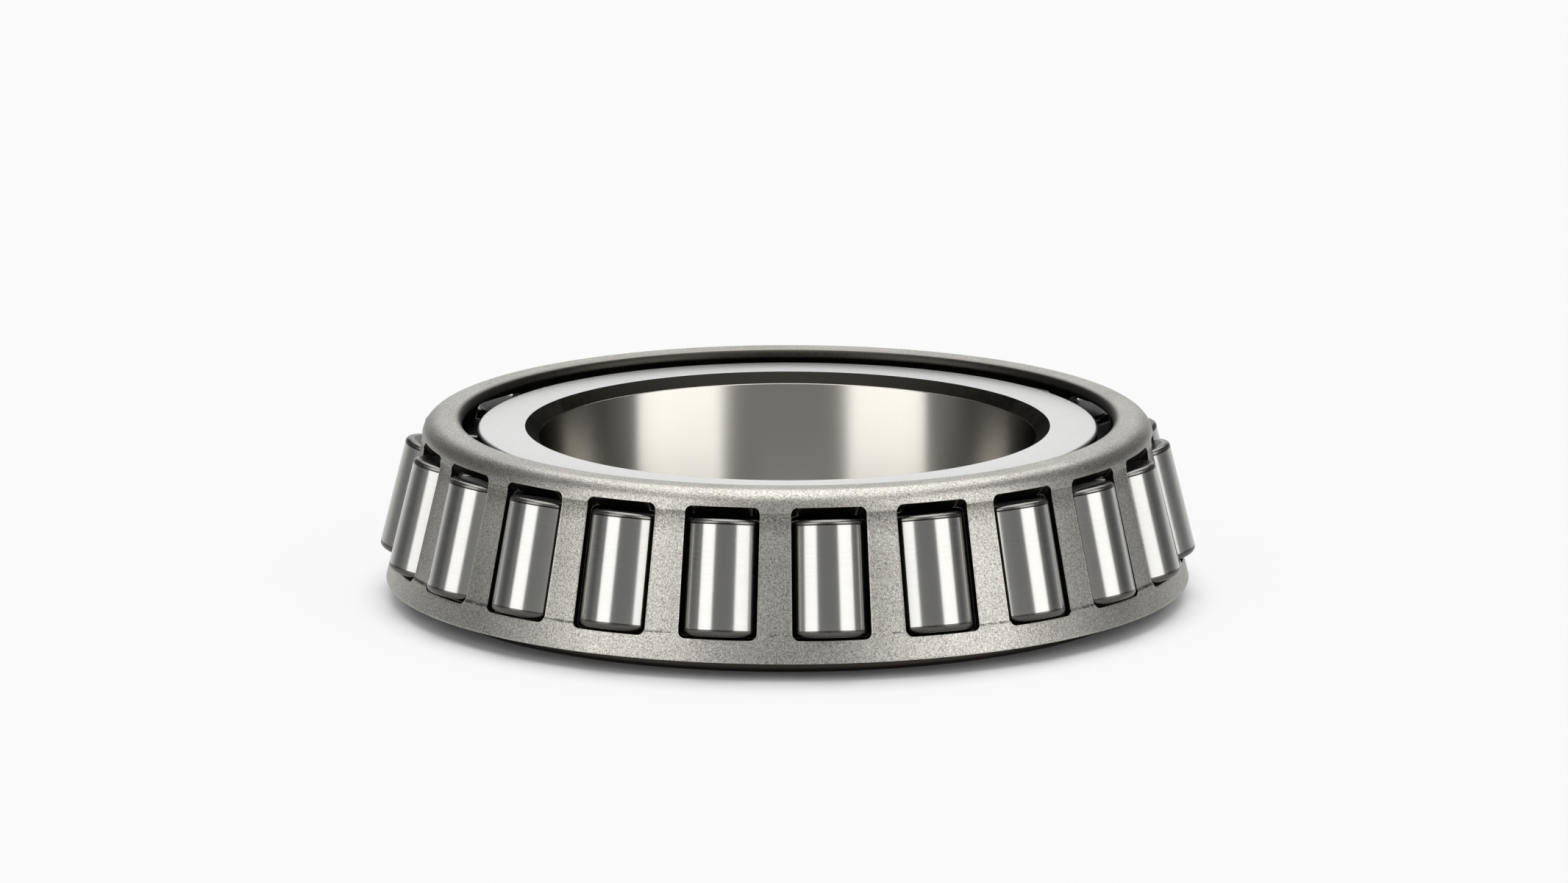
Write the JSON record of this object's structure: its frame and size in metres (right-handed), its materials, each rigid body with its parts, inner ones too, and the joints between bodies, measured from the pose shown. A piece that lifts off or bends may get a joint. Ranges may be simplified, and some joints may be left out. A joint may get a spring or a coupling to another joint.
{
  "type": "tapered roller bearing",
  "caption": "Inner half of a tapered roller bearing: ribbed inner ring and tapered rollers in a pressed steel cage, taking radial and thrust load on a shaft.",
  "frame": {"origin": "centre of the inner ring's back face, on the bearing axis, where the bearing stands on the floor", "axes": "+Z along the bearing axis from the wide back face to the narrow front face; +X through roller_01"},
  "size_m": [0.1148, 0.1138, 0.0254],
  "materials": {
    "inner_ring": "ground",
    "cage": "tumbled, matte",
    "roller": "mirror polished"
  },
  "bodies": {
    "inner_ring": {"inner_ring": "inner_ring"},
    "cage": {"cage": "cage"},
    "roller_01": {"roller_01": "roller"},
    "roller_02": {"roller_02": "roller"},
    "roller_03": {"roller_03": "roller"},
    "roller_04": {"roller_04": "roller"},
    "roller_05": {"roller_05": "roller"},
    "roller_06": {"roller_06": "roller"},
    "roller_07": {"roller_07": "roller"},
    "roller_08": {"roller_08": "roller"},
    "roller_09": {"roller_09": "roller"},
    "roller_10": {"roller_10": "roller"},
    "roller_11": {"roller_11": "roller"},
    "roller_12": {"roller_12": "roller"},
    "roller_13": {"roller_13": "roller"},
    "roller_14": {"roller_14": "roller"},
    "roller_15": {"roller_15": "roller"},
    "roller_16": {"roller_16": "roller"},
    "roller_17": {"roller_17": "roller"},
    "roller_18": {"roller_18": "roller"},
    "roller_19": {"roller_19": "roller"},
    "roller_20": {"roller_20": "roller"},
    "roller_21": {"roller_21": "roller"},
    "roller_22": {"roller_22": "roller"}
  },
  "joints": [
    {"name": "cage_spin", "type": "hinge", "parent": "inner_ring", "child": "cage", "pos_m": [0, 0, 0], "axis": [0, 0, 1], "continuous": true},
    {"name": "roller_01_spin", "type": "hinge", "parent": "cage", "child": "roller_01", "pos_m": [0.05191, 0, 0.00508], "axis": [-0.2183, 0, 0.9759], "continuous": true},
    {"name": "roller_02_spin", "type": "hinge", "parent": "cage", "child": "roller_02", "pos_m": [0.04981, 0.01462, 0.00508], "axis": [-0.2095, -0.0615, 0.9759], "continuous": true},
    {"name": "roller_03_spin", "type": "hinge", "parent": "cage", "child": "roller_03", "pos_m": [0.04367, 0.02806, 0.00508], "axis": [-0.1836, -0.118, 0.9759], "continuous": true},
    {"name": "roller_04_spin", "type": "hinge", "parent": "cage", "child": "roller_04", "pos_m": [0.03399, 0.03923, 0.00508], "axis": [-0.143, -0.165, 0.9759], "continuous": true},
    {"name": "roller_05_spin", "type": "hinge", "parent": "cage", "child": "roller_05", "pos_m": [0.02156, 0.04722, 0.00508], "axis": [-0.0907, -0.1986, 0.9759], "continuous": true},
    {"name": "roller_06_spin", "type": "hinge", "parent": "cage", "child": "roller_06", "pos_m": [0.00739, 0.05138, 0.00508], "axis": [-0.0311, -0.2161, 0.9759], "continuous": true},
    {"name": "roller_07_spin", "type": "hinge", "parent": "cage", "child": "roller_07", "pos_m": [-0.00739, 0.05138, 0.00508], "axis": [0.0311, -0.2161, 0.9759], "continuous": true},
    {"name": "roller_08_spin", "type": "hinge", "parent": "cage", "child": "roller_08", "pos_m": [-0.02156, 0.04722, 0.00508], "axis": [0.0907, -0.1986, 0.9759], "continuous": true},
    {"name": "roller_09_spin", "type": "hinge", "parent": "cage", "child": "roller_09", "pos_m": [-0.03399, 0.03923, 0.00508], "axis": [0.143, -0.165, 0.9759], "continuous": true},
    {"name": "roller_10_spin", "type": "hinge", "parent": "cage", "child": "roller_10", "pos_m": [-0.04367, 0.02806, 0.00508], "axis": [0.1836, -0.118, 0.9759], "continuous": true},
    {"name": "roller_11_spin", "type": "hinge", "parent": "cage", "child": "roller_11", "pos_m": [-0.04981, 0.01462, 0.00508], "axis": [0.2095, -0.0615, 0.9759], "continuous": true},
    {"name": "roller_12_spin", "type": "hinge", "parent": "cage", "child": "roller_12", "pos_m": [-0.05191, 0, 0.00508], "axis": [0.2183, 0, 0.9759], "continuous": true},
    {"name": "roller_13_spin", "type": "hinge", "parent": "cage", "child": "roller_13", "pos_m": [-0.04981, -0.01462, 0.00508], "axis": [0.2095, 0.0615, 0.9759], "continuous": true},
    {"name": "roller_14_spin", "type": "hinge", "parent": "cage", "child": "roller_14", "pos_m": [-0.04367, -0.02806, 0.00508], "axis": [0.1836, 0.118, 0.9759], "continuous": true},
    {"name": "roller_15_spin", "type": "hinge", "parent": "cage", "child": "roller_15", "pos_m": [-0.03399, -0.03923, 0.00508], "axis": [0.143, 0.165, 0.9759], "continuous": true},
    {"name": "roller_16_spin", "type": "hinge", "parent": "cage", "child": "roller_16", "pos_m": [-0.02156, -0.04722, 0.00508], "axis": [0.0907, 0.1986, 0.9759], "continuous": true},
    {"name": "roller_17_spin", "type": "hinge", "parent": "cage", "child": "roller_17", "pos_m": [-0.00739, -0.05138, 0.00508], "axis": [0.0311, 0.2161, 0.9759], "continuous": true},
    {"name": "roller_18_spin", "type": "hinge", "parent": "cage", "child": "roller_18", "pos_m": [0.00739, -0.05138, 0.00508], "axis": [-0.0311, 0.2161, 0.9759], "continuous": true},
    {"name": "roller_19_spin", "type": "hinge", "parent": "cage", "child": "roller_19", "pos_m": [0.02156, -0.04722, 0.00508], "axis": [-0.0907, 0.1986, 0.9759], "continuous": true},
    {"name": "roller_20_spin", "type": "hinge", "parent": "cage", "child": "roller_20", "pos_m": [0.03399, -0.03923, 0.00508], "axis": [-0.143, 0.165, 0.9759], "continuous": true},
    {"name": "roller_21_spin", "type": "hinge", "parent": "cage", "child": "roller_21", "pos_m": [0.04367, -0.02806, 0.00508], "axis": [-0.1836, 0.118, 0.9759], "continuous": true},
    {"name": "roller_22_spin", "type": "hinge", "parent": "cage", "child": "roller_22", "pos_m": [0.04981, -0.01462, 0.00508], "axis": [-0.2095, 0.0615, 0.9759], "continuous": true}
  ],
  "couplings": [
    {"joint": "roller_01_spin", "follows": "cage_spin", "ratio": 7.8974},
    {"joint": "roller_02_spin", "follows": "cage_spin", "ratio": 7.8974},
    {"joint": "roller_03_spin", "follows": "cage_spin", "ratio": 7.8974},
    {"joint": "roller_04_spin", "follows": "cage_spin", "ratio": 7.8974},
    {"joint": "roller_05_spin", "follows": "cage_spin", "ratio": 7.8974},
    {"joint": "roller_06_spin", "follows": "cage_spin", "ratio": 7.8974},
    {"joint": "roller_07_spin", "follows": "cage_spin", "ratio": 7.8974},
    {"joint": "roller_08_spin", "follows": "cage_spin", "ratio": 7.8974},
    {"joint": "roller_09_spin", "follows": "cage_spin", "ratio": 7.8974},
    {"joint": "roller_10_spin", "follows": "cage_spin", "ratio": 7.8974},
    {"joint": "roller_11_spin", "follows": "cage_spin", "ratio": 7.8974},
    {"joint": "roller_12_spin", "follows": "cage_spin", "ratio": 7.8974},
    {"joint": "roller_13_spin", "follows": "cage_spin", "ratio": 7.8974},
    {"joint": "roller_14_spin", "follows": "cage_spin", "ratio": 7.8974},
    {"joint": "roller_15_spin", "follows": "cage_spin", "ratio": 7.8974},
    {"joint": "roller_16_spin", "follows": "cage_spin", "ratio": 7.8974},
    {"joint": "roller_17_spin", "follows": "cage_spin", "ratio": 7.8974},
    {"joint": "roller_18_spin", "follows": "cage_spin", "ratio": 7.8974},
    {"joint": "roller_19_spin", "follows": "cage_spin", "ratio": 7.8974},
    {"joint": "roller_20_spin", "follows": "cage_spin", "ratio": 7.8974},
    {"joint": "roller_21_spin", "follows": "cage_spin", "ratio": 7.8974},
    {"joint": "roller_22_spin", "follows": "cage_spin", "ratio": 7.8974}
  ]
}
